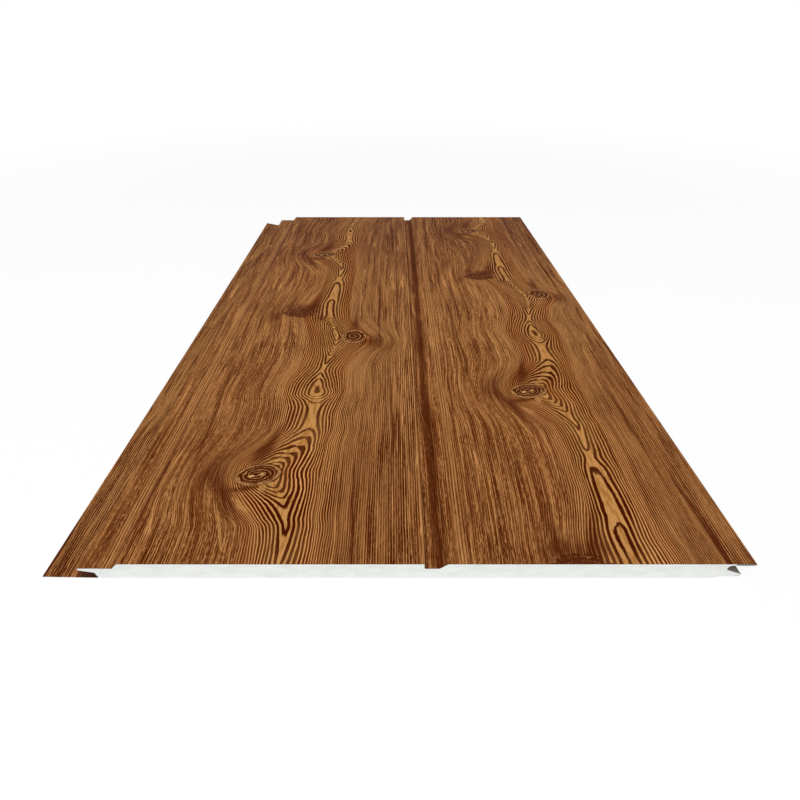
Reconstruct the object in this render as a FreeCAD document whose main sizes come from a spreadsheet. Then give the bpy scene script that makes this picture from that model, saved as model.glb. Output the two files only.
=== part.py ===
import FreeCAD, Part
import math
import os
import re
import Sketcher

# Insulated wall panel: a roll-formed steel face over a foam core, with a foil back.
# Millimetres. X runs across the panel from the nailing flange to the lip, Y along it, Z up.
# The back of the panel lies on Z = 0, and the origin is under the middle of the panel.

doc = FreeCAD.newDocument("insulated_wall_panel")

sizes = {
    "panel_length": 600.0,      # cut length
    "cover_width": 383.0,       # width of wall that one panel covers, two planks
    "panel_thickness": 16.0,    # back to plank face
    "sheet_thickness": 0.27,    # steel with its paint
    "foil_thickness": 0.06,     # foil on the back
    "groove_width": 13.2,       # dividing groove, wall to the head of its chamfer
    "groove_depth": 5.0,        # dividing groove and shelf below the plank face
    "chamfer_run": 4.5,         # sloping side of the groove, measured across
    "shelf_width": 20.5,        # nose to the foot of the first chamfer
    "flange_width": 33.0,       # nailing flange, free edge to web
    "slot_height": 5.85,        # groove for the next panel, at the web
    "tongue_reach": 8.5,        # web to nose
    "tongue_seat": 2.1,         # tongue above the next panel's flange
    "tip_flat": 0.3,            # flat between the folds of the tongue's tip
    "hook_length": 3.0,         # turned-in end of the sheet under the tongue
    "hem_flat": 0.2,            # flat between the folds of the lip
    "hem_empty": 11.7,          # end of the lip that the foam doesn't reach
    "fit_clearance": 0.4,       # tongue to the next panel's nose
    "end_clearance": 0.7,       # tongue tip to the next panel's web
    "nose_clearance": 3.2,      # next panel's nose to the root behind the lip
    "fold_radius": 0.8,         # inside of every fold
    "hem_radius": 0.85,         # outside of the folded lip
    "root_radius": 1.9,         # root behind the lip, outside
    "core_corner": 2.4,         # bevel of the foam over the flange
    "recess_setback": 10.3,     # tongue tip to the foot of the foam's sloping side
    "recess_run": 4.5,          # sloping side of the foam, measured across
}

table = doc.addObject("Spreadsheet::Sheet", "Sizes")
for row, (alias, value) in enumerate(sizes.items(), start=1):
    table.set("A%d" % row, alias)
    table.set("B%d" % row, str(value))
    table.setAlias("B%d" % row, alias)
doc.recompute()


def cells(text):
    return re.sub(r"\b([a-z]+_[a-z_]+)\b", r"Sizes.\1", text)


def number(text):
    return float(table.evalExpression(cells(text)))


# Stations across the panel, from the free edge of the flange
plank = "cover_width / 2 - groove_width"
nose_x = "flange_width - tongue_reach"
shelf_x = nose_x + " + shelf_width"
first_x = shelf_x + " + chamfer_run"
wall_x = first_x + " + " + plank
floor_x = wall_x + " + groove_width - chamfer_run"
second_x = wall_x + " + groove_width"
lip_x = second_x + " + " + plank
root_x = nose_x + " + cover_width - nose_clearance"
tongue_x = "flange_width + cover_width - end_clearance"
middle_x = "(" + lip_x + ") / 2"

# Painted radius inside and outside a fold
inner = "fold_radius"
outer = "fold_radius + sheet_thickness"

# Heights above the back. The nose, lip and tongue tip are as high as their pairs of folds.
face_z = "panel_thickness"
shelf_z = "panel_thickness - groove_depth"
nose_z = shelf_z + " - 2 * (" + outer + ")"
slot_z = "sheet_thickness + slot_height"
lip_z = "panel_thickness - 2 * hem_radius - hem_flat"
hook_z = "sheet_thickness + tongue_seat"
tongue_z = hook_z + " + 2 * (" + outer + ") + tip_flat"
pass_z = nose_z + " - fit_clearance"
slope = "(%s - (%s)) / (tongue_reach - end_clearance)" % (pass_z, tongue_z)
root_z = "%s + %s * nose_clearance" % (pass_z, slope)

# Folds from the nose to the second plank face: x, z, painted radius
faceFolds = [
    (nose_x, nose_z, outer),
    (nose_x, shelf_z, outer),
    (shelf_x, shelf_z, inner),
    (first_x, face_z, outer),
    (wall_x, face_z, outer),
    (wall_x, shelf_z, inner),
    (floor_x, shelf_z, inner),
    (second_x, face_z, outer),
]
tongueFolds = [
    (root_x, lip_z, "root_radius"),
    (root_x, root_z, "root_radius"),
    (tongue_x, tongue_z, outer),
    (tongue_x, hook_z, outer),
]


def section_sketch(name, corners, closed):
    # Straight lines through the corners, each corner rounded by a tangent arc of its radius
    sketch = doc.addObject("Sketcher::SketchObject", name)
    upright = FreeCAD.Rotation(FreeCAD.Vector(1, 0, 0), 90)
    sketch.Placement = FreeCAD.Placement(FreeCAD.Vector(-number(middle_x), 0, 0), upright)
    sketch.setExpression("Placement.Base.x", cells("-" + middle_x))

    def bind(constraint, label, text):
        index = sketch.addConstraint(constraint)
        sketch.renameConstraint(index, label)
        sketch.setExpression("Constraints." + label, cells(text))

    points = [FreeCAD.Vector(number(x), number(z), 0) for x, z, r in corners]
    count = len(points)
    spans = count if closed else count - 1
    along = []
    for i in range(spans):
        along.append((points[(i + 1) % count] - points[i]).normalize())

    starts = list(points)
    ends = list(points)
    arcs = {}
    for i, (x, z, r) in enumerate(corners):
        if r is None:
            continue
        before = along[i - 1]
        after = along[i]
        turn = math.atan2(before.x * after.y - before.y * after.x, before.dot(after))
        radius = number(r)
        tangent = radius * math.tan(abs(turn) / 2)
        ends[i] = points[i] - before * tangent
        starts[i] = points[i] + after * tangent
        side = 1 if turn > 0 else -1
        centre = ends[i] + FreeCAD.Vector(-before.y, before.x, 0) * (radius * side)
        first = ends[i] if side > 0 else starts[i]
        angle = math.atan2(first.y - centre.y, first.x - centre.x)
        circle = Part.Circle(centre, FreeCAD.Vector(0, 0, 1), radius)
        arcs[i] = (Part.ArcOfCircle(circle, angle, angle + abs(turn)), side)

    lines = []
    for i in range(spans):
        lines.append(sketch.addGeometry(Part.LineSegment(starts[i], ends[(i + 1) % count])))

    for i, (x, z, r) in enumerate(corners):
        if i in arcs:
            arc = sketch.addGeometry(arcs[i][0])
            entry, leave = (1, 2) if arcs[i][1] > 0 else (2, 1)
            spot = sketch.addGeometry(Part.Point(points[i]), True)
            sketch.addConstraint(Sketcher.Constraint("Tangent", lines[i - 1], 2, arc, entry))
            sketch.addConstraint(Sketcher.Constraint("Tangent", arc, leave, lines[i], 1))
            sketch.addConstraint(Sketcher.Constraint("PointOnObject", spot, 1, lines[i - 1]))
            sketch.addConstraint(Sketcher.Constraint("PointOnObject", spot, 1, lines[i]))
            bind(Sketcher.Constraint("Radius", arc, number(r)), "r%d" % i, r)
            held, end = spot, 1
        elif i < spans:
            held, end = lines[i], 1
            if i or closed:
                sketch.addConstraint(Sketcher.Constraint("Coincident", lines[i - 1], 2, held, end))
        else:
            held, end = lines[-1], 2
        bind(Sketcher.Constraint("DistanceX", -1, 1, held, end, number(x)), "x%d" % i, x)
        bind(Sketcher.Constraint("DistanceY", -1, 1, held, end, number(z)), "z%d" % i, z)
    return sketch


def extrusion(name, base):
    solid = doc.addObject("Part::Extrusion", name)
    solid.Base = base
    solid.DirMode = "Custom"
    solid.Dir = FreeCAD.Vector(0, 1, 0)
    solid.Solid = True
    solid.Symmetric = True
    solid.setExpression("LengthFwd", cells("panel_length"))
    return solid


# Face sheet: the painted side of the folded strip, thickened towards the foam
foldPath = section_sketch("FoldPath", [
    ("0", "sheet_thickness", None),
    ("flange_width", "sheet_thickness", inner),
    ("flange_width", slot_z, inner),
] + faceFolds + [
    (lip_x, face_z, "hem_radius"),
    (lip_x, lip_z, "hem_radius"),
] + tongueFolds + [
    (tongue_x + " - hook_length", hook_z, None),
], False)

strip = doc.addObject("Part::Offset2D", "SheetStrip")
strip.Source = foldPath
strip.Mode = "Skin"
strip.Join = "Arc"
strip.Fill = True
strip.setExpression("Value", cells("-sheet_thickness"))

faceSheet = extrusion("FaceSheet", strip)
faceSheet.Label = "face_sheet"

# Foam core: everything the folded sheet encloses, less the sheet itself
recess_x = tongue_x + " - recess_setback"
foil_right = recess_x + " - recess_run"
foil_left = "flange_width + core_corner"
hem_x = lip_x + " - hem_empty"

coreOutline = section_sketch("CoreOutline", [
    ("flange_width", "foil_thickness + core_corner", None),
    ("flange_width", slot_z, inner),
] + faceFolds + [
    (hem_x, face_z, None),
    (hem_x, lip_z, None),
] + tongueFolds + [
    (recess_x, hook_z, None),
    (foil_right, "foil_thickness", None),
    (foil_left, "foil_thickness", None),
], True)

coreBlock = extrusion("CoreBlock", coreOutline)
foamCore = doc.addObject("Part::Cut", "FoamCore")
foamCore.Base = coreBlock
foamCore.Tool = faceSheet
foamCore.Label = "foam_core"

# Backing foil, under the flat of the foam
backingFoil = doc.addObject("Part::Box", "BackingFoil")
backingFoil.setExpression("Length", cells(foil_right + " - (" + foil_left + ")"))
backingFoil.setExpression("Width", cells("panel_length"))
backingFoil.setExpression("Height", cells("foil_thickness"))
backingFoil.setExpression("Placement.Base.x", cells(foil_left + " - " + middle_x))
backingFoil.setExpression("Placement.Base.y", cells("-panel_length / 2"))
backingFoil.Label = "backing_foil"

doc.recompute()

for item in doc.Objects:
    if "Invalid" in item.State or "Error" in item.State:
        raise RuntimeError("%s did not recompute: %s" % (item.Name, item.State))

os.makedirs("parts", exist_ok=True)
for piece in (faceSheet, foamCore, backingFoil):
    shape = piece.Shape
    if shape.isNull() or not shape.isValid():
        raise RuntimeError("%s has no valid shape" % piece.Label)
    if len(shape.Solids) != 1:
        raise RuntimeError("%s is not one solid" % piece.Label)
    shape.exportStep("parts/%s.step" % piece.Label)
    print(piece.Label, round(shape.Volume, 1), shape.BoundBox)
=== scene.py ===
import math
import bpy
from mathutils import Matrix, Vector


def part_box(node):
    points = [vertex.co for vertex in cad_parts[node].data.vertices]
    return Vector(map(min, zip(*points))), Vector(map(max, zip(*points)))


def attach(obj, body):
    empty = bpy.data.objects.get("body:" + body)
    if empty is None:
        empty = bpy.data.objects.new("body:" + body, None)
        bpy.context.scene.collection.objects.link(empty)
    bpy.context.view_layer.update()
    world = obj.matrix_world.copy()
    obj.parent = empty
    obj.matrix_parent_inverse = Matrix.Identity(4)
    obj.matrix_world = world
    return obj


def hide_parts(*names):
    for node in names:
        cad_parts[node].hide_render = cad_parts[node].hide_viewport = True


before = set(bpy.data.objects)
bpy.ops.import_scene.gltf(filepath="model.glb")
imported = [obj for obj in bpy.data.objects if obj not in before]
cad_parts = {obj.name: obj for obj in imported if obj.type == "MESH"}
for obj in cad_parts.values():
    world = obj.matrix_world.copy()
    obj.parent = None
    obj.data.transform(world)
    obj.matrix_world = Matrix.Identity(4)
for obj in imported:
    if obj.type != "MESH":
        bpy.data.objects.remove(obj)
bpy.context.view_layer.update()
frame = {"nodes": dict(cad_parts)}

from types import SimpleNamespace

import bmesh
import bpy
import numpy as np
from mathutils import Vector

mm = 0.001
sameSpot = 1e-6                   # metres, close enough to count as one place
print("frame loaded:", ", ".join(frame["nodes"]))


# Small helpers for edit mode and for node trees

def deselectAll():
    if bpy.context.object and bpy.context.object.mode != "OBJECT":
        bpy.ops.object.mode_set(mode="OBJECT")
    bpy.ops.object.select_all(action="DESELECT")


def selectEdges(piece, wanted):
    bm = bmesh.from_edit_mesh(piece.data)
    for face in bm.faces:
        face.select = False
    for vert in bm.verts:
        vert.select = False
    for edge in bm.edges:
        edge.select = wanted(edge.verts[0].co, edge.verts[1].co)
    bm.select_flush_mode()
    bmesh.update_edit_mesh(piece.data)


def newMaterial(name):
    material = bpy.data.materials.new(name)
    material.use_nodes = True
    tree = material.node_tree
    tree.nodes.clear()
    shader = tree.nodes.new("ShaderNodeBsdfPrincipled")
    output = tree.nodes.new("ShaderNodeOutputMaterial")
    tree.links.new(shader.outputs["BSDF"], output.inputs["Surface"])
    return material, tree, shader


def plug(tree, value, socket):
    if isinstance(value, bpy.types.NodeSocket):
        tree.links.new(value, socket)
    else:
        socket.default_value = value


def calc(tree, operation, *values):
    node = tree.nodes.new("ShaderNodeMath")
    node.operation = operation
    for value, socket in zip(values, node.inputs):
        plug(tree, value, socket)
    return node.outputs[0]


def lessBy(tree, value, share=1.0):   # 1 where the value is 0, less by the share where it is 1
    return calc(tree, "MULTIPLY_ADD", value, -share, 1.0)


def ramp(tree, value, low, high, start=0.0, end=1.0):   # smooth step from start to end
    node = tree.nodes.new("ShaderNodeMapRange")
    node.interpolation_type = "SMOOTHSTEP"
    plug(tree, value, node.inputs["Value"])
    for name, number in (("From Min", low), ("From Max", high), ("To Min", start), ("To Max", end)):
        plug(tree, number, node.inputs[name])
    return node.outputs["Result"]


def spot(tree, x, y):
    node = tree.nodes.new("ShaderNodeCombineXYZ")
    for value, socket in zip((x, y), node.inputs):
        plug(tree, value, socket)
    return node.outputs[0]


def objectPlace(tree):
    return tree.nodes.new("ShaderNodeTexCoord").outputs["Object"]


def splitPlace(tree, vector):
    node = tree.nodes.new("ShaderNodeSeparateXYZ")
    tree.links.new(vector, node.inputs[0])
    return node.outputs["X"], node.outputs["Y"], node.outputs["Z"]


def noise(tree, vector, scale, detail, shift):   # cloud noise about zero, each moved by its own shift
    place = tree.nodes.new("ShaderNodeMapping")
    place.inputs["Location"].default_value = (shift, shift * 0.7, shift * 1.3)
    place.inputs["Scale"].default_value = scale
    plug(tree, vector, place.inputs["Vector"])
    texture = tree.nodes.new("ShaderNodeTexNoise")
    texture.inputs["Scale"].default_value = 1.0
    texture.inputs["Detail"].default_value = detail
    tree.links.new(place.outputs[0], texture.inputs["Vector"])
    return calc(tree, "SUBTRACT", texture.outputs["Fac"], 0.5)


def blend(tree, factor, first, second):
    node = tree.nodes.new("ShaderNodeMix")
    node.data_type = "RGBA"
    firstColour, secondColour, mixed = node.inputs[6], node.inputs[7], node.outputs[2]
    plug(tree, factor, node.inputs["Factor"])
    plug(tree, first, firstColour)
    plug(tree, second, secondColour)
    return mixed


def roughen(tree, shader, height, strength, depth):   # bump, its depth in mm
    bump = tree.nodes.new("ShaderNodeBump")
    bump.inputs["Strength"].default_value = strength
    bump.inputs["Distance"].default_value = depth * mm
    tree.links.new(height, bump.inputs["Height"])
    tree.links.new(bump.outputs[0], shader.inputs["Normal"])


def tint(red, green, blue):   # a colour as read off a screen
    def linear(c):
        c = c / 255
        return c / 12.92 if c <= 0.04045 else ((c + 0.055) / 1.055) ** 2.4
    return (linear(red), linear(green), linear(blue), 1.0)


# Printed grain: rings about a column of gold wood, drawn in by knots, on a print that repeats; painted shade
# along the groove's floor, on the first chamfer and inside the slot, and a painted highlight on the cut edge
# by the slot

grain = {                         # mm, from the middle of the sheet's near end
    "origin": (-0.4, -300.0),     # where that is on the sheet
    "repeat": (209.0, 380.0),     # size of the print's repeat
    "start": (-190.0, -10.0),     # its lower left corner
    "step": 90.0,                 # each repeat to the right starts this much further on
    "lap": 45.0,                  # drawn curves run this far past the repeat's ends
    "axis": -67.0,                # mean line of the column
    "column": [                   # along, middle, half width left and right, rings inside
        (-10, -67.5, 12.5, 17.7, 5.0), (-3, -67, 13, 17.4, 5.5), (20, -66, 16, 17, 6.5),
        (30, -68, 21, 18, 6.9), (39, -70, 28, 20, 7.5), (45.5, -73, 31, 23, 8.5),
        (50, -77, 32, 27, 9.5), (54, -81, 33, 31, 10.5), (60, -86, 33, 36, 11.5),
        (68.5, -89, 32, 39, 12.5), (72.5, -88, 32, 38, 11.5), (75.5, -86, 32, 36, 10.5),
        (80, -82, 31, 32, 9.5), (85, -77, 29, 27, 8.5), (90.5, -72, 27, 22.5, 7.5),
        (102, -66, 22, 17.5, 6.4), (115, -64, 19, 17, 5.2), (128, -64.5, 19, 17.5, 4.9),
        (138.5, -64, 20.5, 18.5, 5.5), (144, -64, 22, 19.5, 6.5), (147.5, -64.5, 23, 20, 7.5),
        (151, -64.5, 24, 20.5, 8.4), (154, -64.5, 24, 21, 8.5), (162, -65.5, 23.5, 21, 8.42),
        (168, -65.5, 22.5, 20.5, 7.95), (172, -65.5, 21.5, 20, 7.5), (180, -65, 19.5, 18.5, 6.5),
        (186, -64, 18.5, 18, 6.1), (194, -62, 18, 18.5, 6.5), (208, -59, 19, 21, 7.5),
        (213, -58, 20, 24, 8.5), (218, -57, 21, 27, 9.5), (224, -56, 22, 30, 10.5),
        (232, -56, 23, 33, 11.5), (243, -58, 23, 31, 12.4), (254, -61, 23, 27, 11.5),
        (261, -63, 23, 24, 10.5), (266, -65, 23, 22, 9.5), (270, -66, 24, 21, 8.5),
        (275, -67, 25, 20, 7.5), (284, -68, 26, 20, 6.9), (295, -69, 25, 20, 6.8),
        (308, -69.5, 22, 19, 6.8), (316, -69, 20, 19, 6.5), (324, -68.5, 18, 18.5, 6.1),
        (345, -68.5, 14, 18, 5.8), (360, -68, 13, 17.9, 5.5),
    ],
    "open": [                     # how far the rings open out towards the column's middle, along it
        (-10, 1.7), (25, 1.3), (68, 1.3), (110, 1.6), (138, 1.7), (149, 1.7), (160, 1.4), (174, 1.3),
        (200, 1.2), (240, 1.2), (280, 1.4), (310, 1.6), (330, 2.0), (352, 2.2),
    ],
    "glow": [                     # extra share of the light tone, along it
        (-10, 0.0), (80, 0.02), (150, 0.25), (240, 0.25), (320, 0.05),
    ],
    "shadeBands": [                # painted shade on the sheet, along the groove's floor and the first chamfer
        {"at": 26.9, "half": 3.3, "strength": 1.0},
        {"at": -162.0, "half": 2.2, "strength": 0.5},
    ],
    "brightBands": [              # on the repeat, bundles of clear pale lines by its two sides
        {"at": -168.0, "half": 3.8, "strength": 0.5},
        {"at": 18.6, "half": 1.0, "strength": 0.6},
    ],
    "knots": [                    # place, half size, turn, rings in the eye, how hazy and how torn
        {"at": (-93.5, 65), "size": (15.5, 8.6), "turn": 9, "rings": 4.6, "haze": 0.0, "torn": 0.3},
        {"at": (-100, 287), "size": (17, 8.5), "turn": 2, "rings": 3.4, "haze": 0.45, "torn": 0.9},
        {"at": (-39.4, 240.5), "size": (12, 11.5), "turn": -15, "rings": 2.6, "haze": 0.0, "torn": 0.3},
    ],
    "specks": [                   # light specks in the heart of the eye
        {"at": (-97.8, 63.6), "size": (2.2, 1.1), "turn": 10},
        {"at": (-90.6, 65.2), "size": (1.6, 1.0), "turn": 10},
    ],
    "fan": {"at": (-86, 22), "size": (20, 30), "turn": 14},   # clear fine lines below the eye
    "smoke": [                    # dark patches by the knots, then long streaks
        {"at": (-124, 66), "size": (9, 15), "turn": -5, "strength": 0.6},
        {"at": (-113, 50), "size": (6, 16), "turn": 35, "strength": 0.6},
        {"at": (-107, 36), "size": (4, 11), "turn": 25, "strength": 0.6},
        {"at": (-116, 86), "size": (6, 24), "turn": -36, "strength": 0.5},
        {"at": (-94, 86), "size": (9, 14), "turn": -40, "strength": 0.6},
        {"at": (-90, 100), "size": (4, 22), "turn": -20, "strength": 0.55},
        {"at": (-97, 53.5), "size": (11, 2.4), "turn": 8, "strength": 0.9},
        {"at": (-20, 231), "size": (13, 14), "turn": 0, "strength": 0.7},
        {"at": (-126, 280), "size": (8, 14), "turn": -20, "strength": 0.7},
        {"at": (-99, 298), "size": (20, 8), "turn": 0, "strength": 0.7},
        {"at": (-86, 312), "size": (6, 18), "turn": -12, "strength": 0.6},
        {"at": (-112, 310), "size": (6, 16), "turn": -8, "strength": 0.5},
        {"at": (-40, 264), "size": (5, 20), "turn": 0, "strength": 0.7},
        {"at": (-76, 276), "size": (8, 7), "turn": 0, "strength": 0.6},
        {"at": (-15, 300), "size": (1.4, 60), "turn": 2, "strength": 1.1},
        {"at": (-152, 290), "size": (1.4, 70), "turn": 1, "strength": 1.1},
        {"at": (-143, 130), "size": (1.4, 70), "turn": 3, "strength": 1.1},
        {"at": (-1, 120), "size": (1.3, 70), "turn": 2, "strength": 1.0},
        {"at": (-160, 60), "size": (1.3, 60), "turn": -2, "strength": 0.9},
        {"at": (-26, 40), "size": (1.2, 50), "turn": 3, "strength": 0.9},
    ],
    "gleams": [                   # pale gold patches under the eye
        {"at": (-99, 40), "size": (2.6, 9), "turn": 48, "strength": 0.9},
        {"at": (-107, 22), "size": (1.2, 22), "turn": 22, "strength": 0.8},
        {"at": (-88, 54), "size": (3.5, 4.5), "turn": -20, "strength": 0.9},
    ],
    "gold": tint(182, 131, 74),
    "fleck": tint(146, 94, 38),
    "light": tint(212, 151, 90),
    "tan": tint(162, 101, 46),
    "red": tint(162, 93, 45),
    "ring": tint(66, 18, 0),
    "mid": tint(136, 79, 36),
    "midRed": tint(133, 73, 37),
    "shade": tint(80, 28, 0),
    "heart": tint(72, 26, 4),
    "eyeRing": tint(202, 150, 92),
}


clouds = {                        # noises: how often they vary across and along, detail, shift
    "wobble": (1 / 16, 1 / 50, 2.0, 3.0),     # slow waver of the lines
    "ripple": (1 / 6, 1 / 16, 2.0, 7.0),      # quick waver
    "jag": (1 / 7, 1 / 9, 2.0, 5.0),          # ragged tips of the arches
    "unrest": (1 / 10, 1 / 90, 2.0, 11.0),    # uneven spacing of the rings
    "tone": (1 / 6, 1 / 300, 2.0, 21.0),      # paler and darker bundles of rings
    "hue": (1 / 40, 1 / 160, 2.0, 25.0),      # tan or red
    "fleck": (0.5, 1 / 8, 3.0, 95.0),         # flecks in the gold
    "streak": (0.7, 1 / 16, 3.0, 51.0),       # streaks in the smoke and in the painted shade
    "dash": (0.9, 1 / 25, 3.0, 41.0),         # lines broken into dashes
    "speck": (1.4, 1 / 3.5, 1.0, 45.0),       # short marks
    "patchy": (1 / 4, 1 / 50, 2.0, 31.0),     # stronger and fainter stretches of the lines
    "girth": (1 / 3, 1 / 140, 2.0, 71.0),     # thicker and thinner lines
    "hush": (1 / 2.5, 1 / 70, 2.0, 91.0),     # stretches where the lines fade
    "fibre": (1.2, 1 / 60, 1.0, 81.0),        # long fine fibres
    "ragged": (1 / 3, 1 / 3, 3.0, 61.0),      # torn edges
}


def cloud(tree, place, name):
    across, along, detail, shift = clouds[name]
    return noise(tree, place, (across, along, 1), detail, shift)


def alongCurve(tree, along, points):   # a value drawn along the print's repeat, smooth over its seam
    span, lap = grain["repeat"][1], grain["lap"]
    start, end = grain["start"][1] - lap, grain["start"][1] + span + lap
    points = [(at + turn * span, value) for turn in (-1, 0, 1) for at, value in points]
    points = [point for point in points if start <= point[0] <= end]
    low = min(value for at, value in points)
    high = max(value for at, value in points)
    node = tree.nodes.new("ShaderNodeFloatCurve")
    drawn = node.mapping.curves[0]
    for i, (at, value) in enumerate(points):
        place = ((at - start) / (end - start), (value - low) / (high - low))
        if i < 2:   # a new curve has two points already
            drawn.points[i].location = place
        else:
            drawn.points.new(*place)
    for point in drawn.points:
        point.handle_type = "AUTO_CLAMPED"
    node.mapping.update()
    share = calc(tree, "DIVIDE", calc(tree, "SUBTRACT", along, start), end - start)
    tree.links.new(share, node.inputs["Value"])
    return calc(tree, "MULTIPLY_ADD", node.outputs[0], high - low, low)


def ovalPlace(tree, place, spec):   # place from an oval's middle, 1 long on its edge
    node = tree.nodes.new("ShaderNodeMapping")
    node.vector_type = "TEXTURE"
    node.inputs["Location"].default_value = (*spec["at"], 0.0)
    node.inputs["Rotation"].default_value = (0.0, 0.0, math.radians(spec["turn"]))
    node.inputs["Scale"].default_value = (*spec["size"], 1.0)
    tree.links.new(place, node.inputs["Vector"])
    return node.outputs[0]


def lengthOf(tree, vector):
    node = tree.nodes.new("ShaderNodeVectorMath")
    node.operation = "LENGTH"
    tree.links.new(vector, node.inputs[0])
    return node.outputs["Value"]


def turnOf(tree, vector):   # share of a full turn about the middle
    x, y = splitPlace(tree, vector)[:2]
    return calc(tree, "DIVIDE", calc(tree, "ARCTAN2", y, x), 2 * math.pi)


bell = 2.0                        # power of a fade that is shaped like a bell


def fade(tree, distance, power, width=1.0):   # 1 at the middle, falling off with distance
    shaped = calc(tree, "POWER", calc(tree, "DIVIDE", distance, width), power)
    return calc(tree, "EXPONENT", calc(tree, "MULTIPLY", shaped, -1.0))


def softOval(tree, place, spec, power=bell):   # 1 in an oval's middle, fading about its edge
    return fade(tree, lengthOf(tree, ovalPlace(tree, place, spec)), power)


def offLine(tree, value):   # distance from the nearest whole number and a half
    return calc(tree, "ABSOLUTE", calc(tree, "SUBTRACT", calc(tree, "FRACT", value), 0.5))


def lines(tree, value, half, soft):   # dark line at every whole number and a half
    return ramp(tree, calc(tree, "SUBTRACT", offLine(tree, value), half), -soft, soft, 1.0, 0.0)


def either(tree, switch, pair):   # the first of a pair where the switch is 0, the second where it is 1
    first, second = pair
    step = second - first if isinstance(first, float) else calc(tree, "SUBTRACT", second, first)
    return calc(tree, "MULTIPLY_ADD", switch, step, first)


def bySide(tree, wood, pair):   # the first of a pair left of the column, the second right of it
    return either(tree, wood.onRight, pair)


def wavyLine(tree, wood, line, waver):
    return calc(tree, "MULTIPLY_ADD", wood.wobble, waver, line)


# The print and its painted shade are drawn stage by stage. What a later stage needs is kept in wood.

def placeOnPrint(tree, wood):   # where a point lies on the sheet and on the print's repeat
    x, y, z = splitPlace(tree, objectPlace(tree))
    wood.x = calc(tree, "MULTIPLY_ADD", x, 1 / mm, -grain["origin"][0])
    wood.y = calc(tree, "MULTIPLY_ADD", y, 1 / mm, -grain["origin"][1])
    wood.z = calc(tree, "DIVIDE", z, mm)
    wide, long = grain["repeat"]
    left, near = grain["start"]
    count = calc(tree, "FLOOR", calc(tree, "DIVIDE", calc(tree, "SUBTRACT", wood.x, left), wide))
    wood.across = calc(tree, "MULTIPLY_ADD", count, -wide, wood.x)
    along = calc(tree, "MULTIPLY_ADD", count, -grain["step"], wood.y)
    wood.along = calc(tree, "WRAP", along, near + long, near)
    wood.onSheet = spot(tree, wood.x, wood.y)
    wood.onRepeat = spot(tree, wood.across, wood.along)
    wood.wobble = cloud(tree, wood.onSheet, "wobble")


ringWork = {                      # mm
    "waver": (3.0, 1.2),          # how far the lines waver, slowly and quickly
    "waverFades": (12.0, 60.0, 1.0, 0.35),    # in full by the axis, to about a third further off
    "sway": 52.0,                 # the column sways within this distance of its axis
    "swayEnds": (2.0, 4.0),       # how sharply that ends on its left and right
    "blunt": 0.4,                 # roundness of the arches' tips
    "jag": 4.5,                   # and how ragged they are
    "loopAt": 76.0,               # the arches turn into round loops beside the eye
    "loopSpan": 22.0,
    "loopRound": 1.2,             # 0 leaves them pointed
    "pitch": (1.7, 1.6),          # ring spacing just left and right of the column
    "crowd": (0.0008, 0.0),       # the rings draw closer further off
    "reach": (45.0, 24.0),        # how far the column bends the rings beside it
    "rest": 14.0,                 # half width that the rings far off settle to
    "unrest": 1.2,                # rings by which the spacing strays
    "unrestFrom": (2.0, 20.0),    # mm from the column's middle over which that sets in
    "axisSlack": 0.3,             # keeps the steepness finite on the axis
}


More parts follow.
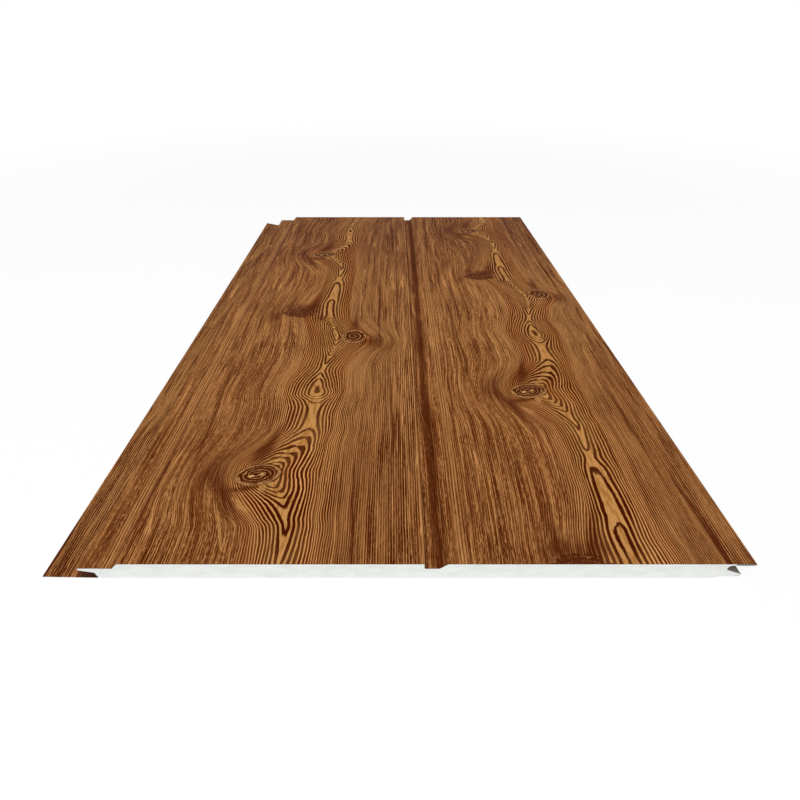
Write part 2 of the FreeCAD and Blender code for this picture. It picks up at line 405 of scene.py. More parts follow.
def countRings(tree, wood):
    work = ringWork

    def drawn(i, along):
        return alongCurve(tree, along, [(row[0], row[i]) for row in grain["column"]])
    middle, leftWidth, rightWidth = [drawn(i, wood.along) for i in (1, 2, 3)]
    jagged = calc(tree, "MULTIPLY_ADD", cloud(tree, wood.onSheet, "jag"), work["jag"], wood.along)
    inside = drawn(4, jagged)
    mostInside = max(row[4] for row in grain["column"])

    # Distance from the column's middle, which sways about the axis
    offset = calc(tree, "SUBTRACT", wood.across, grain["axis"])
    away = calc(tree, "ABSOLUTE", offset)
    slow, quick = work["waver"]
    waves = calc(tree, "MULTIPLY", cloud(tree, wood.onSheet, "ripple"), quick)
    waves = calc(tree, "MULTIPLY_ADD", wood.wobble, slow, waves)
    fromAxis = calc(tree, "MULTIPLY_ADD", waves, ramp(tree, away, *work["waverFades"]), offset)
    ends = either(tree, calc(tree, "GREATER_THAN", offset, 0.0), work["swayEnds"])
    lean = calc(tree, "SUBTRACT", middle, grain["axis"])
    sway = calc(tree, "MULTIPLY", lean, fade(tree, away, ends, work["sway"]))
    offset = calc(tree, "SUBTRACT", fromAxis, sway)
    wood.onRight = calc(tree, "GREATER_THAN", offset, 0.0)
    distance = calc(tree, "SQRT", calc(tree, "MULTIPLY_ADD", offset, offset, work["blunt"] ** 2))
    wood.distance = calc(tree, "MAXIMUM", calc(tree, "SUBTRACT", distance, work["blunt"]), 0.0)

    # Nested arches inside the column
    width = bySide(tree, wood, (leftWidth, rightWidth))
    opening = alongCurve(tree, wood.along, grain["open"])
    share = calc(tree, "POWER", calc(tree, "DIVIDE", wood.distance, width), opening)
    fromMiddle = calc(tree, "MULTIPLY", inside, share)
    belowMost = calc(tree, "SUBTRACT", mostInside, inside)
    fromLoop = calc(tree, "ABSOLUTE", calc(tree, "SUBTRACT", wood.along, work["loopAt"]))
    looped = calc(tree, "MAXIMUM", lessBy(tree, share), 0.0)
    looped = calc(tree, "MULTIPLY", looped, fade(tree, fromLoop, bell, work["loopSpan"]))
    roundness = calc(tree, "MULTIPLY_ADD", looped, work["loopRound"], 1.0)
    arches = calc(tree, "POWER", fromMiddle, roundness)
    arches = calc(tree, "ADD", arches, calc(tree, "POWER", belowMost, roundness))
    arches = calc(tree, "POWER", arches, calc(tree, "DIVIDE", 1.0, roundness))
    arches = calc(tree, "MINIMUM", calc(tree, "SUBTRACT", arches, mostInside), 0.0)
    steepness = calc(tree, "MULTIPLY", fromMiddle, opening)
    wood.steepness = calc(tree, "DIVIDE", steepness, calc(tree, "ADD", wood.distance, work["axisSlack"]))

    # Rings along both sides, straighter further off
    rightEdge = calc(tree, "ADD", lean, rightWidth)
    outLeft = calc(tree, "SUBTRACT", wood.distance, leftWidth)
    outRight = calc(tree, "SUBTRACT", fromAxis, rightEdge)
    wood.outside = bySide(tree, wood, (outLeft, outRight))
    beyond = calc(tree, "MAXIMUM", wood.outside, 0.0)
    bent = fade(tree, calc(tree, "DIVIDE", beyond, bySide(tree, wood, work["reach"])), bell)
    drift = calc(tree, "SUBTRACT", bySide(tree, wood, (leftWidth, rightEdge)), work["rest"])
    beyond = calc(tree, "MULTIPLY_ADD", drift, lessBy(tree, bent), beyond)
    perMm = calc(tree, "DIVIDE", 1.0, bySide(tree, wood, work["pitch"]))
    perMm = calc(tree, "MULTIPLY_ADD", beyond, bySide(tree, wood, work["crowd"]), perMm)
    rings = calc(tree, "MULTIPLY_ADD", beyond, perMm, arches)
    unrest = ramp(tree, wood.distance, *work["unrestFrom"])
    unrest = calc(tree, "MULTIPLY", unrest, cloud(tree, wood.onSheet, "unrest"))
    wood.rings = calc(tree, "MULTIPLY_ADD", unrest, work["unrest"], rings)
    wood.onRings = spot(tree, wood.rings, wood.y)


bandWork = {"waver": 2.0, "edge": 4.0}   # mm of waver, and how sharply a band ends


def bands(tree, wood, line, specs):   # soft stripes along the sheet or the repeat
    wavy = wavyLine(tree, wood, line, bandWork["waver"])
    total = 0.0
    for spec in specs:
        off = calc(tree, "ABSOLUTE", calc(tree, "SUBTRACT", wavy, spec["at"]))
        stripe = fade(tree, off, bandWork["edge"], spec["half"])
        total = calc(tree, "MULTIPLY_ADD", stripe, spec["strength"], total)
    return total


toneWork = {
    "redSpan": (-0.15, 0.15),     # noise from tan to red
    "besideSpan": (-2.0, 20.0),   # mm outside the column over which the plain wood sets in
    "paleSpan": (-0.15, 0.2),     # noise from the least to the most of the light tone
    "leastPale": (0.45, 0.65),    # its least share beside the column, left and right
    "mostPale": 0.85,
    "coreFrom": 3.0,              # mm from the column's middle where the gold starts to fade
    "coreTo": (18.0, 14.0),       # and where it ends, left and right
    "gold": 0.85,
    "flecks": (-0.05, 0.15, 0.0, 0.75),       # noise to share
}


def layTones(tree, wood):   # tan and red, paler by bundles of rings, gold in the column
    work = toneWork
    wood.tone = cloud(tree, wood.onRings, "tone")
    wood.redder = ramp(tree, cloud(tree, wood.onSheet, "hue"), *work["redSpan"])
    wood.beside = ramp(tree, wood.outside, *work["besideSpan"])
    wood.crisp = bands(tree, wood, wood.across, grain["brightBands"])
    colour = blend(tree, wood.redder, grain["tan"], grain["red"])
    least = calc(tree, "MULTIPLY", wood.beside, bySide(tree, wood, work["leastPale"]))
    pale = ramp(tree, wood.tone, *work["paleSpan"], least, work["mostPale"])
    pale = calc(tree, "ADD", pale, alongCurve(tree, wood.along, grain["glow"]))
    pale = calc(tree, "MINIMUM", calc(tree, "ADD", pale, wood.crisp), 1.0)
    colour = blend(tree, pale, colour, grain["light"])
    core = ramp(tree, wood.distance, work["coreFrom"], bySide(tree, wood, work["coreTo"]), 1.0, 0.0)
    colour = blend(tree, calc(tree, "MULTIPLY", core, work["gold"]), colour, grain["gold"])
    fleck = ramp(tree, cloud(tree, wood.onSheet, "fleck"), *work["flecks"])
    wood.colour = blend(tree, calc(tree, "MULTIPLY", core, fleck), colour, grain["fleck"])


smokeWork = {
    "waver": 8.0,                 # mm
    "streaks": 1.6,
    "darken": (0.0, 0.9, 0.0, 0.85),          # smoke and painted shade to share of the shade tone
}


def laySmokeAndShade(tree, wood):   # printed smoky patches by the knots and long dark streaks, with painted shade along the groove's floor and the first chamfer
    work = smokeWork
    wavy = spot(tree, wavyLine(tree, wood, wood.across, work["waver"]), wood.along)
    # painted shade along the groove's floor and the first chamfer, placed on the sheet rather than the
    # repeat
    smoke = bands(tree, wood, wood.x, grain["shadeBands"])
    for patch in grain["smoke"]:
        smoke = calc(tree, "MULTIPLY_ADD", softOval(tree, wavy, patch), patch["strength"], smoke)
    streaks = calc(tree, "MULTIPLY_ADD", cloud(tree, wood.onRings, "streak"), work["streaks"], 1.0)
    wood.smoke = calc(tree, "MULTIPLY", smoke, streaks)
    wood.colour = blend(tree, ramp(tree, wood.smoke, *work["darken"]), wood.colour, grain["shade"])


lineWork = {
    "follow": (0.9, 0.4),         # the finest marks follow the rings and, less, the sheet
    "specks": 1.2,                # share of short marks among the dashes
    "breakFrom": -6.0,            # mm outside the column where the lines start to break up
    "breakTo": (30.0, 55.0),      # and where they are most broken, left and right
    "leastBroken": 0.15,
    "mostBroken": (0.5, 0.35),
    "farLeft": (25.0, 50.0, 0.0, 0.1),        # more so far off on the left
    "cleanFan": 0.75,             # less so below the eye and in the bright bands
    "cleanBand": 0.8,
    "fanEdge": 4.0,
    "thin": 0.1,                  # least and most half width, as a share of the ring spacing
    "thick": 0.31,
    "steepThick": 1.3,            # thicker where the arches crowd
    "bandThick": 0.04,
    "besideThick": (0.08, 0.06),
    "nearShade": (0.0, 180.0, 0.05, 0.0),     # and towards the two ends of the panel; at the near end this is painted shade
    "farSpan": (350.0, 560.0),
    "farThick": (0.14, 0.06),
    "unevenThick": 0.1,
    "soft": 0.05,                 # softness of the lines' edges
    "softBeside": 0.05,           # more of it beside the column
    "softEdges": (-1.0, 1.2),     # where the edge starts and ends, times its softness
    "strength": 0.92,             # of the lines, and how far it varies
    "patchy": 0.8,
    "bundlePitch": 2.0,           # mm between the lines of a bright band
    "bundleLine": (0.22, 0.12),   # half width and softness
    "longEvery": 8.0,             # a long dark line at about every so many rings
    "longStray": 0.5,
    "longLine": (0.04, 0.04),     # half width and softness
    "longPatchy": (-0.15, 0.1, 0.0, 0.9),     # noise to strength
    "longFrom": (2.0, 14.0),      # mm outside the column over which they set in
}


def drawLines(tree, wood):   # dark lines along the rings, clean about the column, dashes further off
    work = lineWork
    byRings, bySheet = work["follow"]
    signed = calc(tree, "MULTIPLY", wood.rings, bySide(tree, wood, (-1.0, 1.0)))
    fineAt = calc(tree, "MULTIPLY_ADD", signed, byRings, calc(tree, "MULTIPLY", wood.x, bySheet))
    wood.onFibres = spot(tree, fineAt, wood.y)
    wood.speck = cloud(tree, wood.onFibres, "speck")
    marks = calc(tree, "MULTIPLY_ADD", wood.speck, work["specks"], cloud(tree, wood.onFibres, "dash"))

    # How broken the lines are
    broken = ramp(tree, wood.outside, work["breakFrom"], bySide(tree, wood, work["breakTo"]),
                  work["leastBroken"], bySide(tree, wood, work["mostBroken"]))
    farLeft = ramp(tree, wood.outside, *work["farLeft"])
    broken = calc(tree, "MULTIPLY_ADD", farLeft, lessBy(tree, wood.onRight), broken)
    fan = softOval(tree, wood.onRepeat, grain["fan"], work["fanEdge"])
    broken = calc(tree, "MULTIPLY", broken, lessBy(tree, fan, work["cleanFan"]))
    broken = calc(tree, "MULTIPLY", broken, lessBy(tree, wood.crisp, work["cleanBand"]))

    # How thick they are
    thick = calc(tree, "MAXIMUM", calc(tree, "MULTIPLY", wood.steepness, work["steepThick"]), work["thin"])
    thick = calc(tree, "MINIMUM", thick, work["thick"])
    thick = calc(tree, "MULTIPLY_ADD", wood.crisp, work["bandThick"], thick)
    # painted shade: thicker lines darken the near end of the panel
    more = calc(tree, "ADD", bySide(tree, wood, work["besideThick"]), ramp(tree, wood.y, *work["nearShade"]))
    farThick = bySide(tree, wood, work["farThick"])
    more = calc(tree, "ADD", more, ramp(tree, wood.y, *work["farSpan"], 0.0, farThick))
    more = calc(tree, "MULTIPLY_ADD", cloud(tree, wood.onRings, "girth"), work["unevenThick"], more)
    thick = calc(tree, "MULTIPLY_ADD", wood.beside, more, thick)

    off = calc(tree, "MULTIPLY_ADD", marks, broken, offLine(tree, wood.rings))
    off = calc(tree, "SUBTRACT", off, thick)
    soft = calc(tree, "MULTIPLY_ADD", wood.beside, work["softBeside"], work["soft"])
    inner, outer = [calc(tree, "MULTIPLY", soft, edge) for edge in work["softEdges"]]
    dark = ramp(tree, off, inner, outer, 1.0, 0.0)
    patchy = cloud(tree, wood.onRings, "patchy")
    dark = calc(tree, "MULTIPLY", dark, calc(tree, "MULTIPLY_ADD", patchy, work["patchy"], work["strength"]))

    # Clear lines in the bright bands, and a long line here and there
    bundleAt = wavyLine(tree, wood, wood.across, bandWork["waver"])
    bundle = lines(tree, calc(tree, "DIVIDE", bundleAt, work["bundlePitch"]), *work["bundleLine"])
    dark = calc(tree, "MULTIPLY_ADD", wood.crisp, calc(tree, "SUBTRACT", bundle, dark), dark)
    longAt = calc(tree, "DIVIDE", wood.rings, work["longEvery"])
    longAt = calc(tree, "MULTIPLY_ADD", wood.tone, work["longStray"], longAt)
    longLine = lines(tree, longAt, *work["longLine"])
    longLine = calc(tree, "MULTIPLY", longLine, ramp(tree, patchy, *work["longPatchy"]))
    wood.longLine = calc(tree, "MULTIPLY", longLine, ramp(tree, wood.outside, *work["longFrom"]))
    wood.darkLine = calc(tree, "MAXIMUM", dark, wood.longLine)
    wood.colour = blend(tree, wood.darkLine, wood.colour, grain["ring"])


fibreWork = {
    "hushSpan": (-0.12, 0.15),    # noise from clear lines to faded ones
    "leastFaded": (0.08, 0.0),    # how far they fade into plain brown, left and right of the column
    "mostFaded": (0.28, 0.03),
    "clearBand": 0.9,             # less of all this in the bright bands, in the smoke and in the painted shade
    "clearDarkening": 0.8,
    "fibres": [                   # noise at their strongest, share left and right of the column
        {"at": 0.22, "share": (0.6, 0.35), "colour": "shade"},
        {"at": -0.22, "share": (0.45, 0.2), "colour": "light"},
    ],
    "glintEvery": 6.0,            # a thin light line at about every so many rings
    "glintStray": 1.5,
    "glintLine": (0.03, 0.03),    # half width and softness
    "glintTone": (-0.08, 0.08, 0.0, 0.65),    # noise to strength
    "longAgain": (60.0, 260.0, 0.0, 0.55),    # the long lines show through away from the near end
}


def layFibres(tree, wood):   # faded stretches, fine fibres and thin light lines beside the column
    work = fibreWork
    clear = lessBy(tree, calc(tree, "MINIMUM", wood.smoke, 1.0), work["clearDarkening"])
    shown = calc(tree, "MULTIPLY", wood.beside, clear)
    loose = calc(tree, "MULTIPLY", shown, lessBy(tree, wood.crisp, work["clearBand"]))
    hush = cloud(tree, wood.onRings, "hush")
    least, most = [bySide(tree, wood, work[name]) for name in ("leastFaded", "mostFaded")]
    faded = calc(tree, "MULTIPLY", ramp(tree, hush, *work["hushSpan"], least, most), loose)
    plain = blend(tree, wood.redder, grain["mid"], grain["midRed"])
    colour = blend(tree, faded, wood.colour, plain)
    grit = calc(tree, "ADD", wood.speck, cloud(tree, wood.onFibres, "fibre"))
    for fibre in work["fibres"]:
        share = ramp(tree, grit, 0.0, fibre["at"], 0.0, bySide(tree, wood, fibre["share"]))
        colour = blend(tree, calc(tree, "MULTIPLY", loose, share), colour, grain[fibre["colour"]])
    glintAt = calc(tree, "DIVIDE", wood.rings, work["glintEvery"])
    glintAt = calc(tree, "MULTIPLY_ADD", hush, work["glintStray"], glintAt)
    glint = calc(tree, "MULTIPLY", lines(tree, glintAt, *work["glintLine"]), shown)
    glint = calc(tree, "MULTIPLY", glint, ramp(tree, wood.tone, *work["glintTone"]))
    colour = blend(tree, glint, colour, grain["light"])
    again = calc(tree, "MULTIPLY", wood.longLine, ramp(tree, wood.y, *work["longAgain"]))
    wood.colour = blend(tree, again, colour, grain["ring"])


knotWork = {                      # distances as shares of the knot's half size
    "gleamTorn": 1.2,             # how ragged the pale patches are
    "gleamEdge": (0.45, 0.65),
    "gleamLined": 0.5,            # how far the dark lines show through the pale patches
    "coil": (0.09, 0.1),          # half width and softness of the light spiral
    "coilTorn": 2.4,
    "rimAt": 0.95,                # light rim of the knot
    "rimWidth": 0.06,
    "rimTorn": 1.6,
    "light": 0.6,                 # strength of spiral and rim, less by the haze
    "hazyRim": 2.0,
    "edge": (1.0, 1.2),           # where the knot fades into the wood
    "hazyHeart": 0.25,
    "speckEdge": (0.3, 0.6),
}


def drawKnots(tree, wood):   # ragged pale patches, then a thin light spiral about each dark heart
    work = knotWork
    ragged = cloud(tree, wood.onSheet, "ragged")
    colour = wood.colour
    lined = lessBy(tree, wood.darkLine, work["gleamLined"])
    for patch in grain["gleams"]:
        gleam = softOval(tree, wood.onRepeat, patch)
        gleam = calc(tree, "MULTIPLY_ADD", ragged, work["gleamTorn"], gleam)
        gleam = ramp(tree, gleam, *work["gleamEdge"], 0.0, patch["strength"])
        colour = blend(tree, calc(tree, "MULTIPLY", gleam, lined), colour, grain["gold"])
    for knot in grain["knots"]:
        haze = knot["haze"]
        eye = ovalPlace(tree, wood.onRepeat, knot)
        rough = calc(tree, "MULTIPLY_ADD", ragged, knot["torn"], lengthOf(tree, eye))
        coil = calc(tree, "MULTIPLY_ADD", rough, knot["rings"], turnOf(tree, eye))
        torn = calc(tree, "MULTIPLY_ADD", ragged, work["coilTorn"], work["light"] - haze)
        coil = calc(tree, "MULTIPLY", lines(tree, coil, *work["coil"]), torn)
        offRim = calc(tree, "ABSOLUTE", calc(tree, "SUBTRACT", rough, work["rimAt"]))
        torn = calc(tree, "MULTIPLY_ADD", ragged, work["rimTorn"], work["light"] - work["hazyRim"] * haze)
        rim = calc(tree, "MULTIPLY", fade(tree, offRim, bell, work["rimWidth"]), torn)
        ringed = blend(tree, calc(tree, "MAXIMUM", coil, rim), grain["heart"], grain["eyeRing"])
        heart = ramp(tree, rough, *work["edge"], 1 - work["hazyHeart"] * haze, 0.0)
        colour = blend(tree, heart, colour, ringed)
    for speck in grain["specks"]:
        shine = ramp(tree, softOval(tree, wood.onRepeat, speck), *work["speckEdge"])
        colour = blend(tree, shine, colour, grain["eyeRing"])
    wood.colour = colour


coats = {                         # mm
    "plain": tint(112, 105, 96),  # on the folded tongue
    "tongueFrom": 192.0,
    "tongueTop": 13.8,
    "paintedSlotShade": tint(60, 30, 30),     # painted shade inside the slot
    "slotMouth": -189.5,
    "slotFade": 4.0,
    "slotShadeShare": 0.85,
    "slotEnd": -172.0,
    "slotTop": 9.4,
    "back": (tint(150, 150, 146), tint(172, 171, 165)),
    "cut": (tint(70, 62, 56), tint(122, 116, 110)),
    "litCutEdge": (tint(168, 172, 180), tint(210, 212, 216)),   # painted highlight: a lit copy of the cut edge, by the slot and the flange
    "mottle": (-0.25, 0.25),      # noise from the first to the second tone of these
    "backCloud": (220, 60, 220),  # how often it varies to the metre
    "cutCloud": (900, 900, 900),
    "brushed": (1100, 40, 1100),  # fine bump of the printed side
    "brushedDepth": 0.1,
}


def tongueCoatAndSlotShade(tree, wood):   # plain coat on the tongue, and painted shade inside the slot
    low = calc(tree, "LESS_THAN", wood.z, coats["tongueTop"])
    onTongue = calc(tree, "MULTIPLY", low, calc(tree, "GREATER_THAN", wood.x, coats["tongueFrom"]))
    colour = blend(tree, onTongue, wood.colour, coats["plain"])
    # painted shade: inside the slot the colour darkens, more so deeper in
    mouth = coats["slotMouth"]
    deep = ramp(tree, wood.x, mouth, mouth + coats["slotFade"], 0.0, coats["slotShadeShare"])
    slotShadeMask = calc(tree, "MULTIPLY", deep, calc(tree, "LESS_THAN", wood.x, coats["slotEnd"]))
    slotShadeMask = calc(tree, "MULTIPLY", slotShadeMask, calc(tree, "LESS_THAN", wood.z, coats["slotTop"]))
    wood.colour = blend(tree, slotShadeMask, colour, coats["paintedSlotShade"])


def printedSteelAndShade():
    material, tree, shader = newMaterial("printedSteelAndShade")
    wood = SimpleNamespace()
    for stage in (placeOnPrint, countRings, layTones, laySmokeAndShade, drawLines, layFibres, drawKnots, tongueCoatAndSlotShade):
        stage(tree, wood)
    tree.links.new(wood.colour, shader.inputs["Base Color"])
    shader.inputs["Roughness"].default_value = 0.5
    shader.inputs["Specular IOR Level"].default_value = 0.016
    brushed = noise(tree, objectPlace(tree), coats["brushed"], 2.0, 9.0)
    roughen(tree, shader, brushed, strength=0.25, depth=coats["brushedDepth"])
    return material


def backCoat():
    material, tree, shader = newMaterial("backCoat")
    mottle = noise(tree, objectPlace(tree), coats["backCloud"], 3.0, 2.0)
    colour = blend(tree, ramp(tree, mottle, *coats["mottle"]), *coats["back"])
    tree.links.new(colour, shader.inputs["Base Color"])
    shader.inputs["Roughness"].default_value = 0.55
    return material


def cutSteelAndHighlight():
    material, tree, shader = newMaterial("cutSteelAndHighlight")
    place = objectPlace(tree)
    burr = ramp(tree, noise(tree, place, coats["cutCloud"], 3.0, 5.0), *coats["mottle"])
    dull = blend(tree, burr, *coats["cut"])
    bright = blend(tree, burr, *coats["litCutEdge"])
    # painted highlight: cut edges left of the slot's end take the lighter, lit copy
    litCutEdge = calc(tree, "LESS_THAN", splitPlace(tree, place)[0], coats["slotEnd"] * mm)
    tree.links.new(blend(tree, litCutEdge, dull, bright), shader.inputs["Base Color"])
    shader.inputs["Roughness"].default_value = 0.45
    return material


# Face sheet: a strip folded along the section, its folds rounded, then given the steel's thickness

sheet = {                         # mm, measured across from the flange's free edge
    "cover": 383.0, "groove": 13.2, "grooveDepth": 5.0, "chamferRun": 4.5, "shelf": 20.5,
    "flange": 33.0, "slotHeight": 5.85, "reach": 8.5, "steel": 0.27,
    "foldRadius": 0.8, "hemRadius": 0.85, "hemFlat": 0.2, "rootRadius": 1.9,
    "seat": 2.1, "tipFlat": 0.3, "hook": 3.0, "fitGap": 0.4, "endGap": 0.7, "noseGap": 3.2,
    "foldSteps": 5,
    "acrossCuts": 99,             # cuts over each plank face, for the emboss
    "alongCuts": 79,              # cuts along the panel
    "longEdge": 100.0,            # plank faces and the panel's length are longer, all else is shorter
    "wideStep": 1.5,              # steps over the faces that are wider than this are halved
    "smoothBelow": 25,            # degrees
    "embossDepth": 0.06,
    "furrow": 1.9,                # turns of the furrows' wave, in radians to the mm
    "furrowWaver": (0.8, 37.0),   # radians, and mm along the panel
    "furrowUneven": (1.7, 0.31),  # radians, and radians to the mm
    "furrowFade": (0.6, 0.4),     # mean strength, and how far it varies
    "furrowFadeOver": (53.0, 0.23),           # mm along the panel, and radians to the mm
    "springNear": 1.2,            # the thin flange stands off the floor, more at the far end
    "springFar": 6.0,
    "springAlong": 2,             # powers by which the lift grows along and across the flange
    "springAcross": 1.5,
}


def foldCorners(top):   # x, z and painted radius of each fold, from flange to hook
    s = sheet
    outer = s["foldRadius"] + s["steel"]
    inner = s["foldRadius"]
    plank = s["cover"] / 2 - s["groove"]
    nose = s["flange"] - s["reach"]
    first = nose + s["shelf"] + s["chamferRun"]
    wall = first + plank
    lip = wall + s["groove"] + plank
    root = nose + s["cover"] - s["noseGap"]
    tip = s["flange"] + s["cover"] - s["endGap"]
    shelfTop = top - s["grooveDepth"]
    noseLow = shelfTop - 2 * outer
    lipLow = top - 2 * s["hemRadius"] - s["hemFlat"]
    hookLow = s["steel"] + s["seat"]
    tipTop = hookLow + 2 * outer + s["tipFlat"]
    passing = noseLow - s["fitGap"]
    slope = (passing - tipTop) / (s["reach"] - s["endGap"])
    return [
        (0, s["steel"], 0),
        (s["flange"], s["steel"], inner),
        (s["flange"], s["steel"] + s["slotHeight"], inner),
        (nose, noseLow, outer),
        (nose, shelfTop, outer),
        (nose + s["shelf"], shelfTop, inner),
        (first, top, outer),
        (wall, top, outer),
        (wall, shelfTop, inner),
        (wall + s["groove"] - s["chamferRun"], shelfTop, inner),
        (wall + s["groove"], top, outer),
        (lip, top, s["hemRadius"]),
        (lip, lipLow, s["hemRadius"]),
        (root, lipLow, s["rootRadius"]),
        (root, passing + slope * s["noseGap"], s["rootRadius"]),
        (tip, tipTop, outer),
        (tip, hookLow, outer),
        (tip - s["hook"], hookLow, 0),
    ]


def foldedStrip():
    low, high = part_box("face_sheet")
    low, high = Vector(low), Vector(high)
    top = (high.z - low.z) / mm
    corners = [(Vector((low.x + x * mm, low.y, z * mm)), r * mm) for x, z, r in foldCorners(top)]
    deselectAll()
    bpy.ops.mesh.primitive_plane_add(size=1)
    strip = bpy.context.object
    strip.name = "faceSheet"
    bpy.ops.object.mode_set(mode="EDIT")
    bpy.ops.mesh.select_mode(type="VERT")
    bpy.ops.mesh.select_all(action="SELECT")
    bpy.ops.mesh.merge(type="CENTER")
    bpy.ops.transform.translate(value=corners[0][0])
    for before, after in zip(corners, corners[1:]):
        bpy.ops.mesh.extrude_region_move(TRANSFORM_OT_translate={"value": after[0] - before[0]})
    bpy.ops.mesh.select_all(action="SELECT")
    bpy.ops.mesh.extrude_region_move(TRANSFORM_OT_translate={"value": (0, high.y - low.y, 0)})

    bpy.ops.mesh.select_mode(type="EDGE")
    for before, fold, after in zip(corners, corners[1:], corners[2:]):
        place, radius = fold
        turn = (place - before[0]).angle(after[0] - place)

        def onFold(a, b):
            return all(abs(p.x - place.x) < sameSpot and abs(p.z - place.z) < sameSpot for p in (a, b))
        selectEdges(strip, onFold)
        bpy.ops.mesh.bevel(offset_type="ABSOLUTE", offset=radius * math.tan(turn / 2),
                           segments=sheet["foldSteps"], profile=0.5, affect="EDGES")

    longEdge, wideStep = sheet["longEdge"] * mm, sheet["wideStep"] * mm
    selectEdges(strip, lambda a, b: abs(a.x - b.x) > longEdge)
    bpy.ops.mesh.subdivide(number_cuts=sheet["acrossCuts"])
    selectEdges(strip, lambda a, b: abs(a.x - b.x) > wideStep and a.z > high.z - sameSpot)
    bpy.ops.mesh.subdivide(number_cuts=1)
    selectEdges(strip, lambda a, b: abs(a.y - b.y) > longEdge)
    bpy.ops.mesh.subdivide(number_cuts=sheet["alongCuts"])
    bpy.ops.object.mode_set(mode="OBJECT")
    upward = [face.normal.z for face in strip.data.polygons if face.center.z > high.z - sameSpot]
    if upward[0] < 0:
        strip.data.flip_normals()
    for coat in (printedSteelAndShade(), backCoat(), cutSteelAndHighlight()):
        strip.data.materials.append(coat)
    wall = strip.modifiers.new("steel", "SOLIDIFY")
    wall.thickness = sheet["steel"] * mm
    wall.offset = -1.0
    wall.use_even_offset = True
    wall.material_offset = 1
    wall.material_offset_rim = 2
    bpy.ops.object.modifier_apply(modifier=wall.name)
    return strip


def embossAndSpring(strip):
    low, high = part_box("face_sheet")
    places = np.empty(len(strip.data.vertices) * 3)
    strip.data.vertices.foreach_get("co", places)
    places = places.reshape(-1, 3)
    x, y, z = places.T / mm
    web = low[0] / mm + sheet["flange"]
    out = np.clip((web - x) / sheet["flange"], 0, 1)
    along = (y - low[1] / mm) / ((high[1] - low[1]) / mm)
    lift = sheet["springNear"] + (sheet["springFar"] - sheet["springNear"]) * along ** sheet["springAlong"]
    flange = z < 2 * sheet["steel"]
    z = z + np.where(flange & (x < web), lift * out ** sheet["springAcross"], 0)
    waver, waverOver = sheet["furrowWaver"]
    uneven, unevenOver = sheet["furrowUneven"]
    mean, change = sheet["furrowFade"]
    changeAlong, changeAcross = sheet["furrowFadeOver"]
    furrow = np.sin(x * sheet["furrow"] + waver * np.sin(y / waverOver) + uneven * np.sin(x * unevenOver))
    furrow = np.clip(furrow * (mean + change * np.sin(y / changeAlong + x * changeAcross)), 0, 1)
    face = z > high[2] / mm - 2 * sheet["steel"]
    z = z - np.where(face, sheet["embossDepth"] * furrow, 0)
    places[:, 2] = z * mm
    strip.data.vertices.foreach_set("co", places.ravel())
    strip.data.update()


faceSheet = foldedStrip()
embossAndSpring(faceSheet)
deselectAll()
faceSheet.select_set(True)
bpy.context.view_layer.objects.active = faceSheet
bpy.ops.object.shade_smooth_by_angle(angle=math.radians(sheet["smoothBelow"]))
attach(faceSheet, "root")
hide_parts("face_sheet")
print("face sheet:", len(faceSheet.data.polygons), "faces")


# Foam core and backing foil: the solids, with their finishes

foam = {
    "pale": tint(246, 248, 245),
    "shade": tint(236, 239, 234),
    "patch": (90, 90, 140),       # patches to the metre
    "patchSpan": (-0.2, 0.25),    # noise from pale to shade
    "cell": 0.5,                  # mm
    "cellDepth": 0.2,
}


def rigidFoam():
    material, tree, shader = newMaterial("rigidFoam")
    place = objectPlace(tree)
    patch = noise(tree, place, foam["patch"], 3.0, 4.0)
    colour = blend(tree, ramp(tree, patch, *foam["patchSpan"]), foam["pale"], foam["shade"])
    tree.links.new(colour, shader.inputs["Base Color"])
    shader.inputs["Roughness"].default_value = 0.9
    shader.inputs["Specular IOR Level"].default_value = 0.15
    cells = tree.nodes.new("ShaderNodeTexVoronoi")
    cells.inputs["Scale"].default_value = 1 / (foam["cell"] * mm)
    tree.links.new(place, cells.inputs["Vector"])
    roughen(tree, shader, cells.outputs["Distance"], strength=0.35, depth=foam["cellDepth"])
    return material


foil = {
    "dull": tint(178, 181, 184),
    "bright": tint(214, 216, 218),
    "worn": (14, 14, 14),         # patches to the metre
    "wornSpan": (-0.25, 0.25),    # noise from dull to bright
    "crease": 9.0,                # mm
    "creaseEdge": (0.0, 0.25),
    "wrinkle": (60, 60, 60),      # small wrinkles to the metre, and their height beside the creases
    "wrinkled": 0.8,
    "depth": 0.3,                 # mm
}


def crinkledFoil():
    material, tree, shader = newMaterial("crinkledFoil")
    place = objectPlace(tree)
    worn = noise(tree, place, foil["worn"], 4.0, 1.0)
    colour = blend(tree, ramp(tree, worn, *foil["wornSpan"]), foil["dull"], foil["bright"])
    tree.links.new(colour, shader.inputs["Base Color"])
    shader.inputs["Metallic"].default_value = 1.0
    shader.inputs["Roughness"].default_value = 0.32
    creases = tree.nodes.new("ShaderNodeTexVoronoi")
    creases.feature = "DISTANCE_TO_EDGE"
    creases.inputs["Scale"].default_value = 1 / (foil["crease"] * mm)
    tree.links.new(place, creases.inputs["Vector"])
    fold = ramp(tree, creases.outputs["Distance"], *foil["creaseEdge"])
    wrinkle = noise(tree, place, foil["wrinkle"], 4.0, 6.0)
    height = calc(tree, "MULTIPLY_ADD", wrinkle, foil["wrinkled"], fold)
    roughen(tree, shader, height, strength=0.3, depth=foil["depth"])
    return material


for node, finish in (("foam_core", rigidFoam()), ("backing_foil", crinkledFoil())):
    frame["nodes"][node].data.materials.clear()
    frame["nodes"][node].data.materials.append(finish)
print("foam and foil finished")


# Floor, light and camera

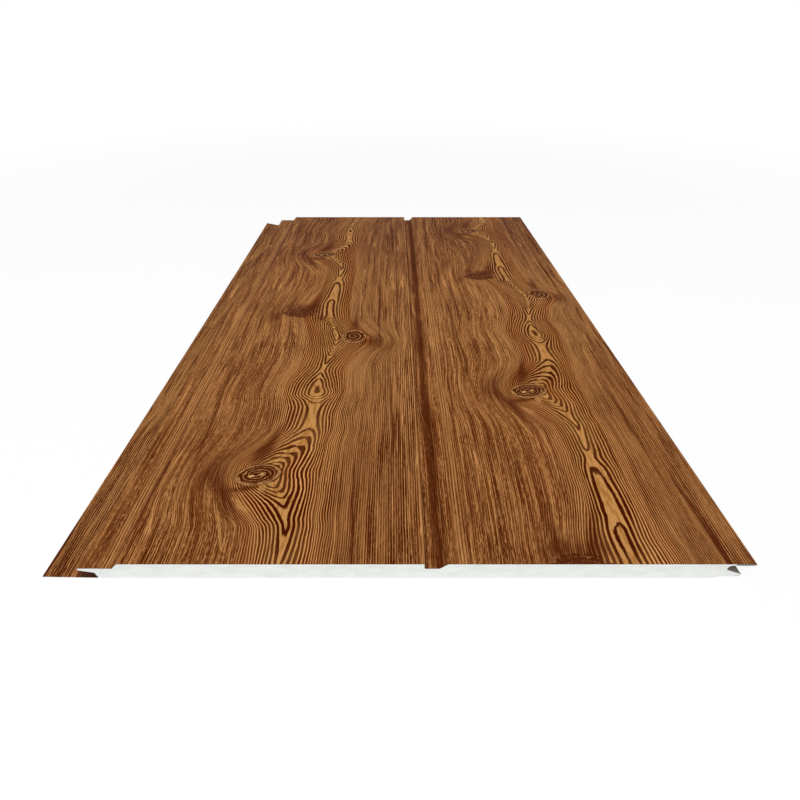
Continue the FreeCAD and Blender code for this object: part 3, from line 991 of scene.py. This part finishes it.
studio = {                        # metres
    "floor": 5.0,
    "floorTone": 0.9,
    "floorGlow": 0.85,            # how white the floor is to the eye under the panel
    "glowSpan": (0.5, 1.5),       # fully white from the second distance outwards
    "sky": 0.3,
    "lamps": [
        {"name": "key", "place": (-0.8, -0.75, 1.7), "size": 1.2, "power": 23.0},
        {"name": "fill", "place": (0.9, -0.65, 1.6), "size": 1.2, "power": 15.0},
    ],
}
view = {                          # mm and degrees, from over the near end and down along the panel
    "place": (-0.4, -427.7, 253.7),
    "pitch": 39.2,
    "lens": 19.49,
    "sensor": 36.0,
    "shift": (0.00875, -0.0196),
}


def seenDirectly(tree):   # 1 where the eye, a mirror or glass looks at it
    path = tree.nodes.new("ShaderNodeLightPath")
    seen = calc(tree, "MAXIMUM", path.outputs["Is Camera Ray"], path.outputs["Is Glossy Ray"])
    return calc(tree, "MAXIMUM", seen, path.outputs["Is Transmission Ray"])


def paleFloor():
    material, tree, shader = newMaterial("paleFloor")
    grey = studio["floorTone"]
    shader.inputs["Base Color"].default_value = (grey, grey, grey, 1.0)
    shader.inputs["Roughness"].default_value = 0.95
    shader.inputs["Specular IOR Level"].default_value = 0.0
    glow = tree.nodes.new("ShaderNodeEmission")
    glow.inputs["Strength"].default_value = 1.0
    mix = tree.nodes.new("ShaderNodeMixShader")
    white = ramp(tree, lengthOf(tree, objectPlace(tree)), *studio["glowSpan"], studio["floorGlow"], 1.0)
    tree.links.new(calc(tree, "MULTIPLY", seenDirectly(tree), white), mix.inputs["Fac"])
    tree.links.new(shader.outputs[0], mix.inputs[1])
    tree.links.new(glow.outputs[0], mix.inputs[2])
    output = next(node for node in tree.nodes if node.type == "OUTPUT_MATERIAL")
    tree.links.new(mix.outputs[0], output.inputs["Surface"])
    return material


def softBox(name, place, size, power):
    lamp = bpy.data.lights.new(name, "AREA")
    lamp.size = size
    lamp.energy = power
    box = bpy.data.objects.new(name, lamp)
    bpy.context.collection.objects.link(box)
    box.location = place
    box.rotation_euler = (-Vector(place)).to_track_quat("-Z", "Y").to_euler()


deselectAll()
bpy.ops.mesh.primitive_plane_add(size=studio["floor"], location=(0, 0, 0))
floor = bpy.context.object
floor.name = "floor"
floor.data.materials.append(paleFloor())

for lamp in studio["lamps"]:
    softBox(**lamp)

world = bpy.data.worlds.new("studio")
world.use_nodes = True
sky = world.node_tree
back = sky.nodes["Background"]
back.inputs["Color"].default_value = (1.0, 1.0, 1.0, 1.0)
strength = calc(sky, "MULTIPLY_ADD", seenDirectly(sky), 1.0 - studio["sky"], studio["sky"])
sky.links.new(strength, back.inputs["Strength"])
bpy.context.scene.world = world

lens = bpy.data.cameras.new("camera")
lens.lens = view["lens"]
lens.sensor_width = view["sensor"]
lens.sensor_fit = "HORIZONTAL"
lens.shift_x, lens.shift_y = view["shift"]
lens.clip_start = 0.01
camera = bpy.data.objects.new("camera", lens)
bpy.context.collection.objects.link(camera)
camera.location = Vector(view["place"]) * mm
camera.rotation_euler = (math.radians(90 - view["pitch"]), 0, 0)
bpy.context.scene.camera = camera
bpy.context.scene.view_settings.view_transform = "Standard"
print("studio ready")
